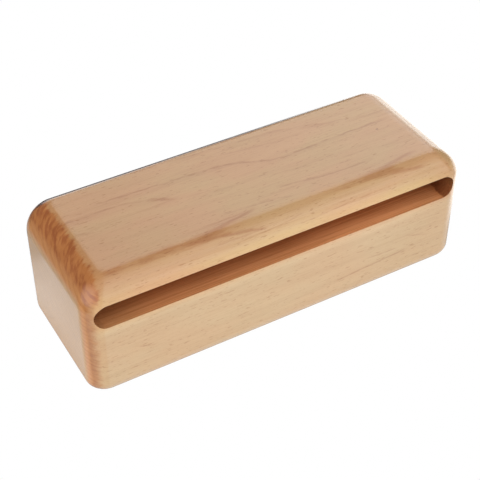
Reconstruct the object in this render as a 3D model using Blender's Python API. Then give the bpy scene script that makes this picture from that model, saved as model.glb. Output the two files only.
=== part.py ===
"""Concert wood block: one solid piece of hardwood, rounded on every edge, with a
long resonance slot milled into its front just under the striking plate.

Metres, +Z up. +X runs along the block, -Y is the front with the slot's mouth.
The origin is the middle of the footprint, on the surface the block rests on.
"""

import math

import bmesh
import bpy

# --- the blank ---------------------------------------------------------------
LENGTH = 0.200  # along X, with the grain
DEPTH = 0.075  # along Y, front to back
HEIGHT = 0.065  # along Z

# --- upper round-over, deeper at the end grain than along the sides -----------
TOP_DROP = 0.0138  # how far down the sides it reaches
TOP_IN_END = 0.0148  # how far in over the top from either end
TOP_IN_FRONT = 0.0126  # and from the front
TOP_IN_BACK = 0.0101  # and from the back

# --- lower round-over --------------------------------------------------------
BASE_RISE = 0.0081
BASE_IN_END = 0.0088
BASE_IN_SIDE = 0.0088

# --- upright edges, and the corners left on the two flats ---------------------
EDGE_R_FRONT = 0.0089
EDGE_R_BACK = 0.0122
TOP_CORNER_R_FRONT = 0.0033
TOP_CORNER_R_BACK = 0.0020
BASE_CORNER_R = 0.0060

# --- resonance slot ----------------------------------------------------------
SLOT_FLOOR = 0.0426  # height of its lower wall
SLOT_ROOF = 0.0549  # the striking plate above it is HEIGHT - SLOT_ROOF thick
SLOT_LEFT = -0.0958  # end walls are thin, as the cutter runs almost full length
SLOT_RIGHT = 0.0940
SLOT_REACH = 0.060  # measured in from the front face
MOUTH_EASE = 0.0004  # sanding on the slot's edge

# --- fineness of the curves --------------------------------------------------
TOP_STEPS = 9
BASE_STEPS = 6
CORNER_STEPS = 8
SLOT_STEPS = 12


def clear_scene():
    for obj in list(bpy.data.objects):
        bpy.data.objects.remove(obj, do_unlink=True)


def section(z):
    """Half length, front and back reach, front and back corner radius at a height."""
    half, front, back = LENGTH / 2, -DEPTH / 2, DEPTH / 2
    if z > HEIGHT - TOP_DROP:
        s = 1 - math.cos(math.asin(min(1.0, (z - HEIGHT + TOP_DROP) / TOP_DROP)))
        return (
            half - TOP_IN_END * s,
            front + TOP_IN_FRONT * s,
            back - TOP_IN_BACK * s,
            EDGE_R_FRONT * (1 - s) + TOP_CORNER_R_FRONT * s,
            EDGE_R_BACK * (1 - s) + TOP_CORNER_R_BACK * s,
        )
    if z < BASE_RISE:
        s = 1 - math.cos(math.asin(min(1.0, (BASE_RISE - z) / BASE_RISE)))
        return (
            half - BASE_IN_END * s,
            front + BASE_IN_SIDE * s,
            back - BASE_IN_SIDE * s,
            EDGE_R_FRONT * (1 - s) + BASE_CORNER_R * s,
            EDGE_R_BACK * (1 - s) + BASE_CORNER_R * s,
        )
    return half, front, back, EDGE_R_FRONT, EDGE_R_BACK


def outline(z):
    """The block's rounded rectangle at a height, counter-clockwise from above."""
    half, front, back, r_front, r_back = section(z)
    points = []
    corners = (
        (1, back, 1, r_back, 0),
        (-1, back, 1, r_back, 90),
        (-1, front, -1, r_front, 180),
        (1, front, -1, r_front, 270),
    )
    for side_x, reach, side_y, r, start in corners:
        for i in range(CORNER_STEPS + 1):
            a = math.radians(start + 90 * i / CORNER_STEPS)
            x = side_x * (half - r) + r * math.cos(a)
            y = reach - side_y * r + r * math.sin(a)
            points.append((x, y, z))
    return points


def front_y(x, z):
    """Where the block's front skin lies behind a point of the elevation."""
    half, front, _, r, _ = section(z)
    over = abs(x) - (half - r)
    if over <= 0:
        return front
    return front + r - math.sqrt(max(0.0, r * r - over * over))


def stadium(grow):
    """The slot's outline in the elevation, round at both ends, grown outwards."""
    r = (SLOT_ROOF - SLOT_FLOOR) / 2
    mid = (SLOT_ROOF + SLOT_FLOOR) / 2
    points = []
    for centre, start in ((SLOT_RIGHT - r, -90), (SLOT_LEFT + r, 90)):
        for i in range(SLOT_STEPS + 1):
            a = math.radians(start + 180 * i / SLOT_STEPS)
            points.append(
                (centre + (r + grow) * math.cos(a), mid + (r + grow) * math.sin(a))
            )
    return points


def loft(name, loops):
    """A closed body through loops of equal count, capped at both ends."""
    bm = bmesh.new()
    rings = [[bm.verts.new(p) for p in loop] for loop in loops]
    count = len(rings[0])
    for low, high in zip(rings, rings[1:]):
        for i in range(count):
            j = (i + 1) % count
            bm.faces.new((low[i], low[j], high[j], high[i]))
    bm.faces.new(list(reversed(rings[0])))
    bm.faces.new(rings[-1])
    bmesh.ops.recalc_face_normals(bm, faces=bm.faces)
    mesh = bpy.data.meshes.new(name)
    bm.to_mesh(mesh)
    bm.free()
    obj = bpy.data.objects.new(name, mesh)
    bpy.context.scene.collection.objects.link(obj)
    return obj


def block_loops():
    heights = [
        BASE_RISE * (1 - math.cos(math.radians(90 * i / BASE_STEPS)))
        for i in range(BASE_STEPS + 1)
    ]
    heights += [
        HEIGHT - TOP_DROP * (1 - math.sin(math.radians(90 * i / TOP_STEPS)))
        for i in range(TOP_STEPS + 1)
    ]
    return [outline(z) for z in heights]


def slot_loops():
    """From in front of the block, over the eased mouth, to the blind end."""
    mouth = [(1.15, -0.15), (0.29, 0.29), (0.0, 1.0)]
    loops = [[(x, -DEPTH / 2 - 0.006, z) for x, z in stadium(MOUTH_EASE * 1.15)]]
    for out, deep in mouth:
        loops.append(
            [
                (x, front_y(x, z) + deep * MOUTH_EASE, z)
                for x, z in stadium(out * MOUTH_EASE)
            ]
        )
    loops.append([(x, -DEPTH / 2 + SLOT_REACH, z) for x, z in stadium(0.0)])
    return loops


def clear_maple():
    mat = bpy.data.materials.new("clear_maple")
    mat.use_nodes = True
    shader = mat.node_tree.nodes["Principled BSDF"]
    shader.inputs["Base Color"].default_value = (0.53, 0.32, 0.15, 1.0)
    shader.inputs["Roughness"].default_value = 0.38
    shader.inputs["Metallic"].default_value = 0.0
    mat.diffuse_color = (0.53, 0.32, 0.15, 1.0)
    return mat


def main():
    clear_scene()
    block = loft("block_body", block_loops())
    block.data.materials.append(clear_maple())

    cutter = loft("slot_cutter", slot_loops())
    cutter.hide_render = True
    cutter.display_type = "WIRE"
    cutter.parent = block

    cut = block.modifiers.new("resonance_slot", "BOOLEAN")
    cut.operation = "DIFFERENCE"
    cut.solver = "EXACT"
    cut.object = cutter

    block.data.shade_smooth()
    block.data.set_sharp_from_angle(angle=math.radians(30))


main()
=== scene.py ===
import math

import bmesh
import bpy
from mathutils import Matrix, Vector

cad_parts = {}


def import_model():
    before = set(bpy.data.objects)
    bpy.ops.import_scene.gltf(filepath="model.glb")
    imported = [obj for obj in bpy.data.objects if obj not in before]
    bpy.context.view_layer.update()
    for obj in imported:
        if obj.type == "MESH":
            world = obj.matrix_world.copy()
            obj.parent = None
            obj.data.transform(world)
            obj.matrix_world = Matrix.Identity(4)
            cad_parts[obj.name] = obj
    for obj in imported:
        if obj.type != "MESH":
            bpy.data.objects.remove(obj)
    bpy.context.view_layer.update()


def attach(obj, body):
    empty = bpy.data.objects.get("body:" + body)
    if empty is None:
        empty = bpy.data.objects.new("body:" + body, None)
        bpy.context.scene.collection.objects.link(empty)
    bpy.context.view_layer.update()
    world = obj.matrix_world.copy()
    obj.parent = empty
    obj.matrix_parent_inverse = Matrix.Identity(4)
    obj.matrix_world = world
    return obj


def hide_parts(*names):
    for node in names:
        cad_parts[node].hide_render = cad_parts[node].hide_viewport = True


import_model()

# ---------------------------------------------------------------------------
# Sizes, in metres, as the block was made
# ---------------------------------------------------------------------------
LENGTH, DEPTH, HEIGHT = 0.200, 0.075, 0.065
TOP_DROP, TOP_IN_END, TOP_IN_FRONT, TOP_IN_BACK = 0.0138, 0.0148, 0.0126, 0.0101
BASE_RISE, BASE_IN_END, BASE_IN_SIDE = 0.0081, 0.0088, 0.0088
EDGE_R_FRONT, EDGE_R_BACK = 0.0089, 0.0122
TOP_CORNER_R_FRONT, TOP_CORNER_R_BACK, BASE_CORNER_R = 0.0033, 0.0020, 0.0060
SLOT_FLOOR, SLOT_ROOF = 0.0426, 0.0549
SLOT_LEFT, SLOT_RIGHT, SLOT_REACH = -0.0958, 0.0940, 0.060
MOUTH_EASE = 0.0004

TOP_STEPS, BASE_STEPS, CORNER_STEPS, SLOT_STEPS, EASE_STEPS = 30, 16, 22, 40, 5


# ---------------------------------------------------------------------------
# The block's fine surface
# ---------------------------------------------------------------------------
def section(z):
    """Half length, front and back reach, front and back corner radius at a height."""
    half, front, back = LENGTH / 2, -DEPTH / 2, DEPTH / 2
    if z > HEIGHT - TOP_DROP:
        s = 1 - math.cos(math.asin(min(1.0, (z - HEIGHT + TOP_DROP) / TOP_DROP)))
        return (
            half - TOP_IN_END * s,
            front + TOP_IN_FRONT * s,
            back - TOP_IN_BACK * s,
            EDGE_R_FRONT * (1 - s) + TOP_CORNER_R_FRONT * s,
            EDGE_R_BACK * (1 - s) + TOP_CORNER_R_BACK * s,
        )
    if z < BASE_RISE:
        s = 1 - math.cos(math.asin(min(1.0, (BASE_RISE - z) / BASE_RISE)))
        return (
            half - BASE_IN_END * s,
            front + BASE_IN_SIDE * s,
            back - BASE_IN_SIDE * s,
            EDGE_R_FRONT * (1 - s) + BASE_CORNER_R * s,
            EDGE_R_BACK * (1 - s) + BASE_CORNER_R * s,
        )
    return half, front, back, EDGE_R_FRONT, EDGE_R_BACK


def outline(z):
    half, front, back, r_front, r_back = section(z)
    corners = (
        (1, back, 1, r_back, 0),
        (-1, back, 1, r_back, 90),
        (-1, front, -1, r_front, 180),
        (1, front, -1, r_front, 270),
    )
    points = []
    for side_x, reach, side_y, r, start in corners:
        for i in range(CORNER_STEPS + 1):
            a = math.radians(start + 90 * i / CORNER_STEPS)
            points.append(
                (
                    side_x * (half - r) + r * math.cos(a),
                    reach - side_y * r + r * math.sin(a),
                    z,
                )
            )
    return points


def front_y(x, z):
    half, front, _, r, _ = section(z)
    over = abs(x) - (half - r)
    if over <= 0:
        return front
    return front + r - math.sqrt(max(0.0, r * r - over * over))


def stadium(grow):
    r = (SLOT_ROOF - SLOT_FLOOR) / 2
    mid = (SLOT_ROOF + SLOT_FLOOR) / 2
    points = []
    for centre, start in ((SLOT_RIGHT - r, -90), (SLOT_LEFT + r, 90)):
        for i in range(SLOT_STEPS + 1):
            a = math.radians(start + 180 * i / SLOT_STEPS)
            points.append(
                (centre + (r + grow) * math.cos(a), mid + (r + grow) * math.sin(a))
            )
    return points


def skin_normal(p):
    """The outward direction of the sanded outer skin, worked out and not averaged."""
    x, y, z = p
    half, front, back, r_front, r_back = section(z)
    if z > HEIGHT - TOP_DROP:
        sin_ph = min(1.0, (z - HEIGHT + TOP_DROP) / TOP_DROP)
        rise, way = TOP_DROP, 1
        in_end, in_front, in_back = TOP_IN_END, TOP_IN_FRONT, TOP_IN_BACK
        end_rf, end_rb = TOP_CORNER_R_FRONT, TOP_CORNER_R_BACK
    elif z < BASE_RISE:
        sin_ph = min(1.0, (BASE_RISE - z) / BASE_RISE)
        rise, way = BASE_RISE, -1
        in_end, in_front, in_back = BASE_IN_END, BASE_IN_SIDE, BASE_IN_SIDE
        end_rf, end_rb = BASE_CORNER_R, BASE_CORNER_R
    else:
        sin_ph, rise, way = 0.0, 1.0, 1
        in_end = in_front = in_back = 0.0
        end_rf, end_rb = r_front, r_back
    cos_ph = math.sqrt(max(0.0, 1 - sin_ph * sin_ph))
    side_x = 1 if x > 0 else -1
    at_front = y < 0
    r = r_front if at_front else r_back
    dr = (end_rf - EDGE_R_FRONT) if at_front else (end_rb - EDGE_R_BACK)
    if rise == 1.0:
        dr = 0.0
    reach, side_y = (front, -1) if at_front else (back, 1)
    in_y = in_front if at_front else in_back
    over_x = abs(x) - (half - r)
    over_y = abs(y - reach)
    if over_x > 0 and over_y < r:
        n = Vector((side_x * over_x, y - (reach - side_y * r)))
        n = n.normalized() if n.length > 1e-9 else Vector((0, side_y))
        move = n.x * side_x * (-in_end - dr) + n.y * side_y * (-in_y - dr) + dr
    elif abs(abs(x) - half) < abs(y - reach):
        n, move = Vector((side_x, 0)), -in_end
    else:
        n, move = Vector((0, side_y)), -in_y
    up = -move * sin_ph * way
    return Vector((n.x * rise * cos_ph, n.y * rise * cos_ph, up)).normalized()


def loft(name, loops, kinds):
    """A closed body through loops of equal count; kinds gives each band's face kind."""
    bm = bmesh.new()
    rings = [[bm.verts.new(p) for p in loop] for loop in loops]
    count = len(rings[0])
    for k, (low, high) in enumerate(zip(rings, rings[1:])):
        for i in range(count):
            j = (i + 1) % count
            face = bm.faces.new((low[i], low[j], high[j], high[i]))
            face.material_index = kinds[k]
    bm.faces.new(list(reversed(rings[0]))).material_index = kinds[0]
    bm.faces.new(rings[-1]).material_index = kinds[-1]
    bmesh.ops.recalc_face_normals(bm, faces=bm.faces)
    mesh = bpy.data.meshes.new(name)
    bm.to_mesh(mesh)
    bm.free()
    obj = bpy.data.objects.new(name, mesh)
    bpy.context.scene.collection.objects.link(obj)
    return obj


def block_loops():
    heights = [
        BASE_RISE * (1 - math.cos(math.radians(90 * i / BASE_STEPS)))
        for i in range(BASE_STEPS + 1)
    ]
    heights += [0.014, 0.021, 0.028, 0.035, 0.042]
    heights += [
        HEIGHT - TOP_DROP * (1 - math.sin(math.radians(90 * i / TOP_STEPS)))
        for i in range(TOP_STEPS + 1)
    ]
    return [outline(z) for z in heights]


def slot_loops():
    loops = [[(x, -DEPTH / 2 - 0.006, z) for x, z in stadium(MOUTH_EASE * 1.08)]]
    kinds = [2]
    turns = [(1.08, -0.04)]
    for i in range(1, EASE_STEPS + 1):
        a = math.radians(90 - 90 * i / EASE_STEPS)
        turns.append((1 - math.cos(math.radians(90) - a), 1 - math.sin(a)))
    for k, (out, deep) in enumerate(turns):
        loops.append(
            [
                (x, front_y(x, z) + deep * MOUTH_EASE, z)
                for x, z in stadium(out * MOUTH_EASE)
            ]
        )
        kinds.append(2 if k < len(turns) - 1 else 1)
    for back in (0.012, 0.030, SLOT_REACH):
        loops.append([(x, -DEPTH / 2 + back, z) for x, z in stadium(0.0)])
        kinds.append(1)
    return loops, kinds[: len(loops) - 1]


def build_block(outer, inner):
    loops = block_loops()
    block = loft("block", loops, [0] * (len(loops) - 1))
    loops, kinds = slot_loops()
    cutter = loft("slot_cutter", loops, kinds)
    for obj in (block, cutter):
        for mat in (outer, inner, outer):
            obj.data.materials.append(mat)
    cut = block.modifiers.new("slot", "BOOLEAN")
    cut.operation, cut.solver, cut.object = "DIFFERENCE", "EXACT", cutter
    cut.material_mode = "INDEX"
    graph = bpy.context.evaluated_depsgraph_get()
    mesh = bpy.data.meshes.new_from_object(block.evaluated_get(graph))
    block.modifiers.clear()
    block.data = mesh
    bpy.data.objects.remove(cutter, do_unlink=True)
    mesh.shade_smooth()
    mesh.set_sharp_from_angle(angle=math.radians(30))
    normals = [Vector(c.vector) for c in mesh.corner_normals]
    for face in mesh.polygons:
        if face.material_index == 0:
            for loop in face.loop_indices:
                normals[loop] = skin_normal(mesh.vertices[mesh.loops[loop].vertex_index].co)
    for face in mesh.polygons:
        if face.material_index == 2:
            face.material_index = 0
    mesh.normals_split_custom_set(normals)
    while len(mesh.materials) > 2:
        mesh.materials.pop(index=len(mesh.materials) - 1)
    return block


# ---------------------------------------------------------------------------
# Node helper
# ---------------------------------------------------------------------------
class Net:
    def __init__(self, tree):
        self.tree = tree

    def node(self, kind, **props):
        n = self.tree.nodes.new(kind)
        for k, v in props.items():
            setattr(n, k, v)
        return n

    def put(self, socket, value):
        if isinstance(value, bpy.types.NodeSocket):
            self.tree.links.new(value, socket)
        elif value is not None:
            socket.default_value = value

    def math(self, op, a, b=None, c=None, clamp=False):
        n = self.node("ShaderNodeMath", operation=op, use_clamp=clamp)
        for i, v in enumerate((a, b, c)):
            self.put(n.inputs[i], v)
        return n.outputs[0]

    def add(self, *items):
        out = items[0]
        for v in items[1:]:
            out = self.math("ADD", out, v)
        return out

    def mul(self, *items):
        out = items[0]
        for v in items[1:]:
            out = self.math("MULTIPLY", out, v)
        return out

    def vmath(self, op, a, b=None, c=None):
        n = self.node("ShaderNodeVectorMath", operation=op)
        for i, v in enumerate((a, b, c)):
            self.put(n.inputs[i], v)
        return n.outputs["Value"] if op in ("DOT_PRODUCT", "LENGTH") else n.outputs[0]

    def xyz(self, x, y, z):
        n = self.node("ShaderNodeCombineXYZ")
        for i, v in enumerate((x, y, z)):
            self.put(n.inputs[i], v)
        return n.outputs[0]

    def split(self, v):
        n = self.node("ShaderNodeSeparateXYZ")
        self.put(n.inputs[0], v)
        return n.outputs[0], n.outputs[1], n.outputs[2]

    def noise(self, v, detail=2.0, rough=0.5, scale=1.0, distort=0.0):
        n = self.node("ShaderNodeTexNoise", noise_dimensions="3D")
        self.put(n.inputs["Vector"], v)
        n.inputs["Scale"].default_value = scale
        n.inputs["Detail"].default_value = detail
        n.inputs["Roughness"].default_value = rough
        n.inputs["Distortion"].default_value = distort
        return n.outputs[0]

    def step(self, v, a, b, c=0.0, d=1.0, kind="SMOOTHSTEP"):
        n = self.node("ShaderNodeMapRange", interpolation_type=kind, clamp=True)
        self.put(n.inputs[0], v)
        for i, x in enumerate((a, b, c, d)):
            self.put(n.inputs[i + 1], x)
        return n.outputs[0]

    def mix(self, f, a, b, kind="MIX"):
        n = self.node("ShaderNodeMix", data_type="RGBA", blend_type=kind)
        self.put(n.inputs[0], f)
        self.put(n.inputs[6], a)
        self.put(n.inputs[7], b)
        return n.outputs[2]

    def tint(self, f, a, times):
        return self.mix(f, a, rgb(*times), "MULTIPLY")

    def curve(self, x, points):
        """A smooth value along x, from a few (x, value) points."""
        xs, vs = [a for a, _ in points], [b for _, b in points]
        low, high = min(vs), max(vs)
        n = self.node("ShaderNodeFloatCurve")
        self.put(n.inputs["Value"], self.step(x, xs[0], xs[-1], kind="LINEAR"))
        line = n.mapping.curves[0]
        spots = [((a - xs[0]) / (xs[-1] - xs[0]), (b - low) / (high - low)) for a, b in points]
        line.points[0].location, line.points[-1].location = spots[0], spots[-1]
        for spot in spots[1:-1]:
            line.points.new(*spot)
        for point in line.points:
            point.handle_type = "AUTO_CLAMPED"
        n.mapping.update()
        return self.add(self.mul(n.outputs[0], high - low), low)

    def mixf(self, f, a, b):
        n = self.node("ShaderNodeMix", data_type="FLOAT")
        self.put(n.inputs[0], f)
        self.put(n.inputs[2], a)
        self.put(n.inputs[3], b)
        return n.outputs[0]


def rgb(r, g, b):
    return (r, g, b, 1.0)


# ---------------------------------------------------------------------------
# Maple: one solid texture, so that a ring runs on over every edge
# ---------------------------------------------------------------------------
LEAN = 0.306  # the rings rise towards the back by this much for each mm

# Single strong rings: (x, level) in mm, half width, strength, redness, how broken. A ring's
# level is the y at which it would cross the plane of the top.
RINGS = (
    (((-70, 15.2), (-40, 14.0), (-12, 13.2), (0, 11.2), (12, 6.4), (20, 4.6), (50, 5.4), (84, 5.6)), 1.1, 0.60, 0.2, 0.6),
    (((-92, 11.0), (-66, 9.6), (-54, 8.4), (-46, 5.6), (-37, 1.8)), 1.1, 0.46, 0.3, 0.6),
    (((-48, 6.6), (-43, 4.6), (-37, 1.9)), 1.7, 0.60, 0.9, 0.1),
    (((8, -14.6), (26, -16.6), (44, -18.0), (58, -18.4)), 1.0, 0.42, 0.3, 0.7),
    (((-24, -19.2), (0, -20.6), (10, -22.4)), 0.9, 0.40, 0.2, 0.6),
    (((-90, 2.4), (-78, -2.2)), 1.2, 0.36, 0.3, 0.6),
    (((-13, 22.5), (-6, 21.0), (16, 18.0), (30, 15.0)), 1.0, 0.30, 0.4, 0.7),
    (((-92, -27.8), (-60, -27.2), (-36, -26.6), (-22, -25.0), (-9, -22.2)), 1.5, 0.62, 0.8, 0.15),
    (((4, -28.4), (30, -27.6), (50, -26.6), (64, -25.4), (79, -23.4)), 1.4, 0.52, 0.7, 0.15),
    (((-34, -22.6), (-10, -22.0)), 1.0, 0.34, 0.9, 0.3),
    (((28, 124.6), (48, 119.6), (68, 115.6)), 2.0, 0.62, 0.2, 0.5),
    (((46, 102.6), (63, 104.4)), 1.8, 0.50, 0.2, 0.5),
    (((68, 86.0), (82, 102.0)), 2.2, 0.30, 0.2, 0.5),
    (((-78, 93.0), (-69, 104.0)), 2.2, 0.34, 0.3, 0.4),
)


def maple(name, inside=False):
    mat = bpy.data.materials.new(name)
    mat.use_nodes = True
    tree = mat.node_tree
    g = Net(tree)
    shader = tree.nodes["Principled BSDF"]

    where = g.node("ShaderNodeTexCoord")
    p = g.vmath("MULTIPLY", where.outputs["Object"], (1000.0, 1000.0, 1000.0))
    x, y, z = g.split(p)
    nx, ny, nz = g.split(where.outputs["Normal"])
    end = g.math("ABSOLUTE", nx)
    upright = g.step(g.math("ABSOLUTE", ny), 0.45, 0.92)

    def grain(along, across, detail=2.0, rough=0.5, shift=0.0):
        v = g.vmath("MULTIPLY_ADD", p, (1 / along, 1 / across, 1 / across), (shift, -shift, 2 * shift))
        return g.noise(v, detail, rough)

    def centred(value):
        return g.math("SUBTRACT", value, 0.5)

    # growth rings: leaning planes, bent a little by the tree's own unevenness
    flat = g.add(y, g.mul(g.math("SUBTRACT", 65.0, z), 1 / LEAN))
    sway = centred(grain(150, 46))
    ripple = centred(grain(34, 9, shift=3.1))
    jag = centred(grain(7, 1.5, 2.0, 0.55, 7.7))
    level = g.add(flat, g.mul(x, 0.10), g.mul(sway, 26.0), g.mul(ripple, 5.0), g.mul(jag, 1.6))
    width = g.noise(g.xyz(g.mul(level, 0.021), 3.7, 1.3), 1.0, 0.5)
    ring = g.add(g.mul(level, 1 / 12.5), g.mul(width, 2.2))
    part = g.math("FRACT", ring)
    pick = g.node("ShaderNodeTexWhiteNoise", noise_dimensions="1D")
    g.put(pick.inputs["W"], g.math("FLOOR", ring))
    weight = g.mul(pick.outputs["Value"], pick.outputs["Value"])
    late = g.mul(g.step(part, 0.76, 0.97), g.step(part, 0.975, 1.0, 1.0, 0.0))
    broken = g.step(grain(13, 2.6, shift=1.9), 0.42, 0.60)
    line = g.mul(late, g.mixf(0.85, 1.0, broken), g.mixf(weight, 0.06, 0.62), g.mixf(upright, 1.0, 0.40))

    # the few rings that stand out
    gaps = g.step(grain(6.5, 1.8, shift=5.3), 0.42, 0.56)
    wobble = g.add(g.mul(ripple, 3.0), g.mul(jag, 2.2))
    dark, red = 0.0, 0.0
    for points, half, strength, redness, breaks in RINGS:
        away = g.add(g.math("SUBTRACT", flat, g.curve(x, points)), wobble)
        core = g.step(g.math("ABSOLUTE", away), half * 1.25, 0.0)
        skirt = g.mul(g.step(away, -5.0 * half, 0.0), g.step(away, half, 0.0), 0.22)
        first, last = points[0][0], points[-1][0]
        reach = g.mul(g.step(x, first - 3, first + 5), g.step(x, last + 3, last - 5))
        mark = g.mul(g.math("MAXIMUM", core, skirt), reach, g.mixf(breaks, 1.0, gaps), strength)
        dark = g.math("MAXIMUM", mark, dark)
        red = g.math("MAXIMUM", g.mul(mark, redness), red)

    # fibres, small dashes and flecks along the grain, and slow drifts of colour
    fibre = grain(24, 0.46, 3.0, 0.6, 2.3)
    coarse = grain(46, 2.6, 2.0, 0.5, 4.1)
    dash = g.step(grain(3.6, 0.75, 1.0, 0.5, 9.3), 0.645, 0.73)
    fleck = g.step(grain(1.7, 0.30, 1.0, 0.5, 6.7), 0.60, 0.74)
    drift = grain(44, 17, 2.0, 0.5, 8.9)
    glow = grain(70, 26, 1.0, 0.5, 12.7)

    # side grain
    heart = g.mix(g.step(drift, 0.34, 0.66), rgb(0.535, 0.318, 0.140), rgb(0.552, 0.300, 0.138))
    sap = g.mix(g.step(drift, 0.34, 0.66), rgb(0.552, 0.380, 0.206), rgb(0.560, 0.364, 0.194))
    side = g.mix(g.step(g.add(flat, g.mul(sway, 10.0)), 32.0, 46.0), heart, sap)
    side = g.tint(g.mul(g.step(coarse, 0.42, 0.70), 0.30), side, (0.88, 0.83, 0.78))
    side = g.tint(g.mul(g.step(glow, 0.45, 0.70), 0.40), side, (1.06, 1.08, 1.10))
    side = g.tint(g.mul(g.step(fibre, 0.46, 0.74), 0.48), side, (0.84, 0.77, 0.70))
    side = g.tint(line, side, (0.78, 0.66, 0.54))
    side = g.tint(dark, side, (0.64, 0.47, 0.34))
    side = g.tint(red, side, (0.98, 0.80, 0.66))
    side = g.tint(g.mul(dash, 0.70), side, (0.76, 0.65, 0.54))
    side = g.tint(g.mul(fleck, 0.34), side, (0.74, 0.62, 0.52))

    # warmer towards the left end
    warm = g.mul(g.step(g.add(x, g.mul(sway, 60.0)), -34.0, -74.0), g.step(nz, 0.5, 0.9))
    side = g.tint(g.mul(warm, 0.7), side, (0.96, 0.90, 0.84))

    # and yellower at the right of the front
    warm = g.mul(g.step(g.add(x, g.mul(sway, 30.0)), 40.0, 90.0), g.step(ny, -0.5, -0.9))
    side = g.tint(warm, side, (0.94, 0.91, 0.85))

    # a dark pin knot on the striking face
    knot = g.vmath("SUBTRACT", p, (74.0, 0.6, 65.0))
    knot = g.step(g.vmath("LENGTH", g.vmath("MULTIPLY", knot, (0.9, 1.6, 1.0))), 0.9, 0.3)
    side = g.tint(g.mul(knot, 0.85), side, (0.42, 0.30, 0.24))

    # end grain drinks the finish: darker and redder, in short strokes, with pale rays
    run = g.add(g.mul(y, 0.895), g.mul(z, 0.447), g.mul(sway, 6.0))
    rise = g.add(g.mul(z, 0.895), g.mul(y, -0.447), g.mul(ripple, 0.8), g.mul(jag, 0.4))
    streaks = g.noise(g.xyz(g.mul(rise, 1 / 1.1), g.mul(run, 1 / 6.0), g.mul(x, 1 / 8)), 2.0, 0.5)
    patches = g.noise(g.xyz(g.mul(rise, 1 / 6), g.mul(run, 1 / 11), g.mul(x, 1 / 11)), 1.5, 0.5)
    rays = g.noise(g.xyz(g.mul(rise, 1 / 4.5), g.mul(run, 1 / 0.42), g.mul(x, 1 / 12)), 2.0, 0.5)
    speck = grain(14, 0.5, 2.0, 0.6, 3.3)
    round_over = g.step(g.math("ABSOLUTE", nz), 0.30, 0.60)
    cut = g.mix(g.step(streaks, 0.42, 0.64), rgb(0.474, 0.180, 0.052), rgb(0.345, 0.106, 0.030))
    cut = g.tint(g.mul(g.step(patches, 0.38, 0.62), 0.45), cut, (0.82, 0.73, 0.64))
    cut = g.tint(g.mul(g.step(speck, 0.52, 0.72), 0.18), cut, (0.76, 0.66, 0.58))
    cut = g.tint(g.mul(line, 0.25), cut, (0.74, 0.60, 0.50))
    cut = g.tint(g.mul(g.step(rays, 0.58, 0.76), 0.18), cut, (1.20, 1.28, 1.34))
    flat_cut = g.mix(0.78, cut, g.mix(g.step(end, 0.93, 0.99), rgb(0.615, 0.290, 0.112), rgb(0.545, 0.314, 0.104)))
    pale = g.math("MAXIMUM", g.step(end, 0.70, 0.90), g.mul(g.math("SUBTRACT", 1.0, round_over), 0.5))
    cut = g.mix(pale, cut, flat_cut)
    # darker on the vertical edges: partly end grain, partly painted shade where these edges catch no sheen
    edge = g.mul(g.math("SUBTRACT", 1.0, round_over), g.step(end, 0.25, 0.55), g.step(end, 0.93, 0.74))
    cut = g.tint(edge, cut, (0.79, 0.77, 0.66))
    # painted highlight: the right end's grain is paler and less red, in place of the bright sheen on that end
    fair = g.mix(g.step(streaks, 0.42, 0.64), rgb(0.560, 0.340, 0.153), rgb(0.505, 0.295, 0.128))
    fair = g.tint(g.mul(g.step(patches, 0.38, 0.62), 0.5), fair, (0.90, 0.86, 0.82))
    cut = g.mix(g.step(nx, 0.0, 0.10), cut, fair)  # the right end is paler
    sawn = g.step(end, 0.60, 0.95)
    year = g.math("FRACT", g.add(g.mul(level, 1 / 8.5), g.mul(width, 1.6)))
    year = g.mul(g.step(year, 0.30, 0.92), g.step(year, 0.94, 1.0, 1.0, 0.0))
    cut = g.tint(g.mul(year, sawn, 0.60), cut, (0.84, 0.74, 0.64))
    cut = g.tint(g.mul(g.step(rays, 0.52, 0.72), sawn, 0.50), cut, (1.10, 1.13, 1.17))
    pores = g.noise(g.xyz(g.mul(y, 1 / 0.55), g.mul(z, 1 / 0.55), g.mul(x, 1 / 9)), 1.0, 0.5)
    cut = g.tint(g.mul(g.step(pores, 0.60, 0.74), sawn, 0.50), cut, (0.74, 0.62, 0.52))
    notch = centred(grain(16, 3.4, 2.0, 0.6, 15.1))
    fringe = g.add(g.mul(centred(streaks), 0.16), g.mul(centred(speck), 0.14), g.mul(notch, 0.34))
    share = g.mixf(round_over, g.step(g.add(end, fringe), 0.30, 0.78), g.step(g.add(end, fringe), 0.18, 0.33))
    side = g.tint(g.step(nx, -0.03, -0.16), side, (0.96, 0.92, 0.86))
    colour = g.mix(share, side, cut)
    if inside:
        score = g.step(grain(60, 0.9, 2.0, 0.6, 5.9), 0.44, 0.62)
        # the slot's own colours; the left end wall darkens towards the roof as painted shade
        colour = g.mix(0.82, colour, g.mix(share, rgb(0.700, 0.290, 0.112), g.mix(g.step(nx, -0.2, 0.2), g.mix(g.step(z, 45.0, 53.5), rgb(0.310, 0.112, 0.040), rgb(0.110, 0.036, 0.014)), rgb(0.590, 0.236, 0.092))))
        colour = g.tint(g.mul(score, 0.80), colour, (0.80, 0.72, 0.64))
        # painted shade: darker deeper into the slot
        colour = g.tint(g.step(g.add(y, g.mul(ripple, 5.0)), -37.0, -25.0), colour, (0.70, 0.58, 0.48))
        # painted light: lighter in the slot from the middle towards the right
        colour = g.tint(g.mul(g.step(x, 0.0, 40.0), g.step(x, 84.0, 58.0)), colour, (1.12, 1.14, 1.16))
        # painted shade: darker at the slot's left end
        colour = g.tint(g.step(x, -62.0, -88.0), colour, (0.86, 0.90, 0.88))
        # painted shade: darker at the slot's right end
        colour = g.tint(g.step(x, 85.0, 91.0), colour, (0.84, 0.76, 0.66))
    else:
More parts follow.
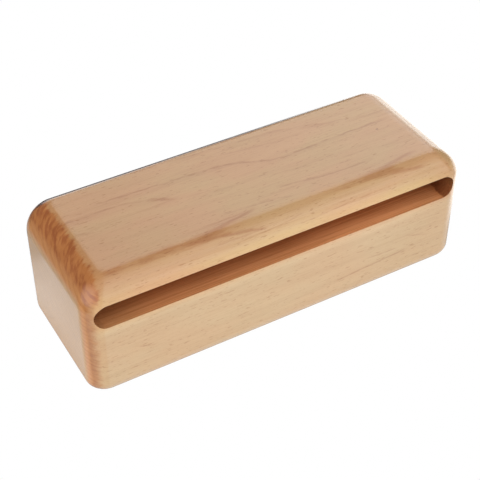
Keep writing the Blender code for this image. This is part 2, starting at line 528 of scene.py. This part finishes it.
        # painted highlight: the mouth's lips are made paler, where the eased edges catch the light
        lip = g.math("MINIMUM", g.math("ABSOLUTE", g.math("SUBTRACT", z, 1000 * SLOT_FLOOR)), g.math("ABSOLUTE", g.math("SUBTRACT", z, 1000 * SLOT_ROOF)))
        lip = g.mul(g.step(lip, 6.5, 0.5), g.step(ny, -0.3, -0.7), g.step(x, -97.0, -92.0), g.step(x, 96.0, 66.0))
        colour = g.tint(lip, colour, (1.14, 1.19, 1.24))
        # more painted highlight along the upper lip, rising from the left towards the middle and right
        colour = g.tint(g.mul(lip, g.step(z, 50.0, 54.0), g.step(x, -70.0, 0.0)), colour, (1.06, 1.16, 1.16))

    # painted shade: a thin dark line along the upper back edge, where that edge turns away and reflects the dark
    # surroundings
    thread = centred(grain(40, 0.9, 2.0, 0.5, 10.4))
    painted_dark_edge = g.mul(g.step(g.add(y, g.mul(thread, 0.8)), 29.3, 30.3), g.step(g.add(z, g.mul(thread, 2.2)), 60.9, 62.5))
    painted_dark_edge = g.mul(painted_dark_edge, g.step(g.add(x, g.mul(ripple, 30.0)), 86.0, 40.0, 0.45, 1.0))
    colour = g.tint(painted_dark_edge, colour, (0.16, 0.08, 0.05))
    g.put(shader.inputs["Base Color"], colour)

    # satin: open pores and late wood are a little duller
    dull = g.add(0.40, g.mul(g.step(fibre, 0.45, 0.75), 0.08), g.mul(dash, 0.14), g.mul(share, 0.05))
    if inside:
        dull = g.add(dull, 0.18)
    g.put(shader.inputs["Roughness"], dull)
    shader.inputs["IOR"].default_value = 1.5
    shader.inputs["Metallic"].default_value = 0.0
    shader.inputs["Specular IOR Level"].default_value = 0.25
    shader.inputs["Coat Weight"].default_value = 0.0 if inside else 1.0
    shader.inputs["Coat Roughness"].default_value = 0.12
    shader.inputs["Coat IOR"].default_value = 1.5

    # relief: fibres and pores, and the hand sanding's slow waves
    sanding = grain(30, 14, 1.0, 0.4, 1.1)
    height = g.add(
        g.mul(centred(fibre), 0.012),
        g.mul(dash, -0.016),
        g.mul(fleck, -0.008),
        g.mul(dark, -0.006),
        g.mul(knot, -0.030),
        g.mul(sanding, 0.040),
    )
    if inside:
        height = g.add(height, g.mul(score, -0.030))
    bump = g.node("ShaderNodeBump")
    bump.inputs["Strength"].default_value = 1.0
    bump.inputs["Distance"].default_value = 0.001
    g.put(bump.inputs["Height"], height)
    g.put(shader.inputs["Normal"], bump.outputs[0])
    if not inside:
        film = g.node("ShaderNodeBump")
        film.inputs["Strength"].default_value = 0.4
        film.inputs["Distance"].default_value = 0.001
        g.put(film.inputs["Height"], height)
        g.put(shader.inputs["Coat Normal"], film.outputs[0])
    return mat


# ---------------------------------------------------------------------------
# Stage: a white table in a white tent that is open overhead and at the left, behind
# ---------------------------------------------------------------------------
# soft boxes: azimuth (0 is behind the block, 90 to its right), elevation, inner and outer radius, power
SOFT_BOXES = (
    (34, 40, 20, 22, 1.12),
    (34, 40, 20, 22, 60, 30, 0, 40, 0.60),
    (52, -2, 6, 20, 1.62),
    (48, 12, 8, 13, 1.05),
    (10, 8, 4, 16, 1.60),
    (100, 68, 8, 26, 0.32),
    (150, 4, 12, 26, 1.05),
    (150, 28, 10, 28, 0.95),
    (170, 50, 10, 35, 0.30),
    (140, 48, 8, 24, 0.75),
    (180, 72, 10, 35, 0.46),
    (115, 25, 12, 35, 0.30),
    (190, 22, 12, 35, 0.72),
    (218, 8, 12, 35, 0.36),
    (240, 62, 12, 35, 0.20),
    (245, 30, 12, 40, 0.64),
    (262, 26, 18, 47, 1.14),
    (278, 22, 12, 38, 0.40),
)
AMBIENT = 0.10

# white cards that glow on the table: x from, x to, y from, y to, soft edge (metres), power
WHITE_CARDS = (
    (0.130, 0.30, -0.05, 0.25, 0.018, 1.30),
    (0.30, 2.50, -0.10, 2.50, 0.020, 1.40),
    (-0.18, 0.22, -0.11, -0.036, 0.006, 0.54),
    (-0.30, 0.40, -0.26, -0.110, 0.015, 0.62),
    (-0.50, 1.50, -2.50, -0.260, 0.030, 0.52),
    (-0.136, -0.101, -0.03, 0.066, 0.008, 0.34),
    (-0.114, -0.101, -0.04, 0.050, 0.006, 0.16),
)
# dark cards flat on the table, seen only in reflections; the first, right behind the block, is a painted shadow of
# the block
BLACK_CARDS = (
    (-0.076, 0.112, 0.046, 0.400, 0.016),
    (-3.000, -0.200, -0.080, 3.000, 0.030),
    (-0.210, -0.090, 0.180, 3.000, 0.024),
)
TABLE = 0.60  # how light the table is


def light_table():
    mat = bpy.data.materials.new("light_table")
    mat.use_nodes = True
    tree = mat.node_tree
    g = Net(tree)
    shader = tree.nodes["Principled BSDF"]
    shader.inputs["Roughness"].default_value = 0.9
    shader.inputs["Specular IOR Level"].default_value = 0.1
    shader.inputs["Emission Color"].default_value = rgb(1.0, 1.0, 1.0)
    x, y, _ = g.split(g.node("ShaderNodeTexCoord").outputs["Object"])

    def card(x0, x1, y0, y1, soft):
        return g.mul(
            g.step(x, x0 - soft, x0 + soft), g.step(x, x1 + soft, x1 - soft),
            g.step(y, y0 - soft, y0 + soft), g.step(y, y1 + soft, y1 - soft),
        )

    black = 0.0
    for edges in BLACK_CARDS:
        black = g.math("MAXIMUM", card(*edges), black)
    g.put(shader.inputs["Base Color"], g.mix(black, rgb(TABLE, TABLE, TABLE), rgb(0.04, 0.04, 0.04)))
    glow = 0.0
    for *edges, power in WHITE_CARDS:
        glow = g.add(g.mul(card(*edges), power), glow)
    under = card(-0.0925, 0.0925, -0.0300, 0.0300, 0.0022)
    g.put(shader.inputs["Emission Strength"], g.mixf(under, glow, 0.75))
    seen = g.node("ShaderNodeEmission")
    seen.inputs["Color"].default_value = rgb(1.0, 1.0, 1.0)
    both = g.node("ShaderNodeMixShader")
    g.put(both.inputs[0], g.node("ShaderNodeLightPath").outputs["Is Camera Ray"])
    g.put(both.inputs[1], shader.outputs[0])
    g.put(both.inputs[2], seen.outputs[0])
    clear = g.node("ShaderNodeMixShader")  # from underneath the table is glass
    g.put(clear.inputs[0], g.node("ShaderNodeNewGeometry").outputs["Backfacing"])
    g.put(clear.inputs[1], both.outputs[0])
    g.put(clear.inputs[2], g.node("ShaderNodeBsdfTransparent").outputs[0])
    g.put(tree.nodes["Material Output"].inputs["Surface"], clear.outputs[0])
    return mat


def floor():
    bm = bmesh.new()
    bmesh.ops.create_grid(bm, x_segments=8, y_segments=8, size=3.0)
    for vert in bm.verts:
        vert.co.z = -0.0002
    mesh = bpy.data.meshes.new("floor")
    bm.to_mesh(mesh)
    bm.free()
    obj = bpy.data.objects.new("floor", mesh)
    bpy.context.scene.collection.objects.link(obj)
    mesh.materials.append(light_table())
    return obj


def world():
    made = bpy.data.worlds.new("studio")
    bpy.context.scene.world = made
    made.use_nodes = True
    tree = made.node_tree
    tree.nodes.clear()
    g = Net(tree)
    way = g.vmath("NORMALIZE", g.node("ShaderNodeTexCoord").outputs["Generated"])

    def lobe(azimuth, elevation, inner, outer):
        a, e = math.radians(azimuth), math.radians(elevation)
        axis = (math.sin(a) * math.cos(e), math.cos(a) * math.cos(e), math.sin(e))
        d = g.vmath("DOT_PRODUCT", way, axis)
        return g.step(d, math.cos(math.radians(outer)), math.cos(math.radians(inner)))

    total = AMBIENT
    for box in SOFT_BOXES:
        part = lobe(*box[:4])
        if len(box) > 5:  # a bright spot within the box
            part = g.mul(part, lobe(*box[4:8]))
        total = g.add(g.mul(part, box[-1]), total)
    light = g.node("ShaderNodeBackground")
    light.inputs["Color"].default_value = rgb(1.0, 1.0, 1.0)
    g.put(light.inputs["Strength"], total)
    seen = g.node("ShaderNodeBackground")
    seen.inputs["Color"].default_value = rgb(1.0, 1.0, 1.0)
    seen.inputs["Strength"].default_value = 1.0
    path = g.node("ShaderNodeLightPath")
    both = g.node("ShaderNodeMixShader")
    g.put(both.inputs[0], path.outputs["Is Camera Ray"])
    g.put(both.inputs[1], light.outputs[0])
    g.put(both.inputs[2], seen.outputs[0])
    out = g.node("ShaderNodeOutputWorld")
    g.put(out.inputs["Surface"], both.outputs[0])


def camera():
    data = bpy.data.cameras.new("camera")
    data.sensor_width = 36.0
    data.lens = 87.8945
    data.shift_x = 0.013774
    data.shift_y = -0.005365
    data.clip_start, data.clip_end = 0.01, 50.0
    obj = bpy.data.objects.new("camera", data)
    bpy.context.scene.collection.objects.link(obj)
    right = Vector((0.869249, -0.494369, -0.002361))
    down = Vector((-0.324849, -0.567568, -0.756531))
    ahead = Vector((0.372665, 0.658381, -0.653953))
    m = Matrix((right, -down, -ahead)).transposed().to_4x4()
    m.translation = Vector((-0.217909, -0.372292, 0.399994))
    obj.matrix_world = m
    bpy.context.scene.camera = obj


camera()
world()
floor()
block = build_block(maple("maple_skin"), maple("maple_slot", inside=True))
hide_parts("block_body")
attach(block, "root")

bpy.context.scene.view_settings.view_transform = "Standard"
bpy.context.scene.view_settings.look = "None"
bpy.context.scene.view_settings.exposure = 0.0
bpy.context.scene.view_settings.gamma = 1.0

bpy.context.view_layer.update()
